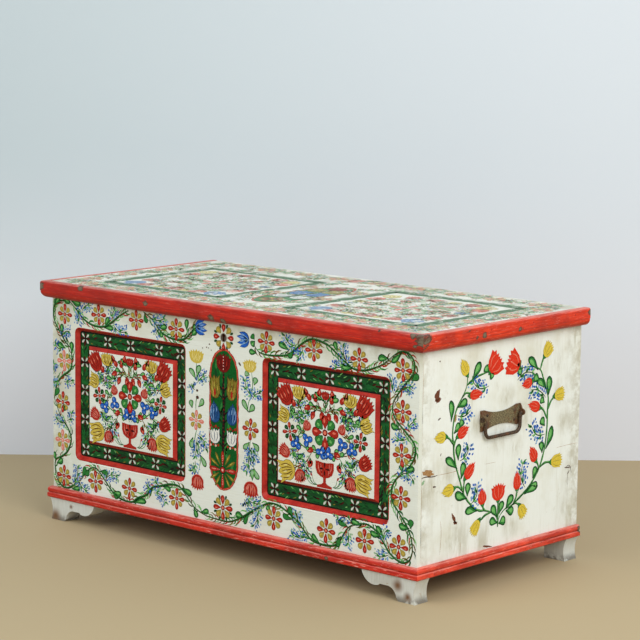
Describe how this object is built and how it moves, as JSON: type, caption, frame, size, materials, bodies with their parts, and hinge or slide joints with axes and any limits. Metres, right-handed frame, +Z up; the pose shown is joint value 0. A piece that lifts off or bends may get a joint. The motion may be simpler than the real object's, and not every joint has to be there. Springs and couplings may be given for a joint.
{
  "type": "wedding chest",
  "caption": "Painted pine wedding chest: dovetailed box with sunk panels in front, a hinged lid edged with mouldings, lock, drop handles and scrolled front feet.",
  "frame": {"origin": "on the floor, under the middle of the whole chest with its lid mouldings and hinges", "axes": "+X along the length to the viewer's right, the painted front looks along -Y, +Z up"},
  "size_m": [1.207, 0.6032, 0.5874],
  "materials": {
    "white_paint": "pine under worn cream-white oil paint with painted flowers",
    "red_paint": "pine under worn red oil paint",
    "green_paint": "pine, under dark green oil paint where it shows in the panels",
    "lid_paint": "pine under well worn cream-white oil paint with painted flowers",
    "bare_wood": "aged unpainted pine",
    "iron": "forged iron, browned with age",
    "plate_iron": "sheet iron with remains of old paint and rust"
  },
  "bodies": {
    "chest": {"front_facing": "white_paint", "front_board": "green_paint", "front_field_left": "white_paint", "front_field_right": "white_paint", "back_board_lower": "bare_wood", "back_board_upper": "bare_wood", "left_end_lower": "white_paint", "left_end_upper": "white_paint", "right_end_lower": "white_paint", "right_end_upper": "white_paint", "bottom_board_front": "bare_wood", "bottom_board_middle": "bare_wood", "bottom_board_rear": "bare_wood", "plinth_front_moulding": "red_paint", "plinth_left_moulding": "red_paint", "plinth_right_moulding": "red_paint", "foot_front_left": "white_paint", "foot_front_right": "white_paint", "foot_rear_left": "white_paint", "foot_rear_right": "white_paint", "foot_pegs": "bare_wood", "till_front": "bare_wood", "till_bottom": "bare_wood", "case_nails": "iron", "plinth_nails": "red_paint", "lock_case": "iron", "lock_nails": "iron", "hinge_leaf_left": "iron", "hinge_leaf_right": "iron", "hinge_pin_left": "iron", "hinge_pin_right": "iron", "leaf_nails": "iron", "handle_plate_left": "plate_iron", "handle_plate_right": "plate_iron", "plate_nails": "iron"},
    "lid": {"lid_board_front": "lid_paint", "lid_board_middle": "lid_paint", "lid_board_rear": "lid_paint", "lid_moulding_front": "red_paint", "lid_moulding_left": "red_paint", "lid_moulding_right": "red_paint", "lid_nails": "red_paint", "hinge_strap_left": "iron", "hinge_strap_right": "iron", "lock_staple": "iron", "lid_iron_nails": "iron"},
    "bail_left": {"bail_left": "iron"},
    "bail_right": {"bail_right": "iron"},
    "lock_bolt": {"lock_bolt": "iron"}
  },
  "joints": [
    {"name": "lid_hinge", "type": "hinge", "parent": "chest", "child": "lid", "pos_m": [0, 0.29615, 0.5648], "axis": [-1, 0, 0], "range_deg": [0, 100]},
    {"name": "bail_left_swing", "type": "hinge", "parent": "chest", "child": "bail_left", "pos_m": [-0.588, -0.00515, 0.375], "axis": [0, 1, 0], "range_deg": [0, 170]},
    {"name": "bail_right_swing", "type": "hinge", "parent": "chest", "child": "bail_right", "pos_m": [0.588, -0.00515, 0.375], "axis": [0, -1, 0], "range_deg": [0, 170]},
    {"name": "bolt_slide", "type": "slide", "parent": "chest", "child": "lock_bolt", "axis": [-1, 0, 0], "range_m": [0, 0.016]}
  ]
}
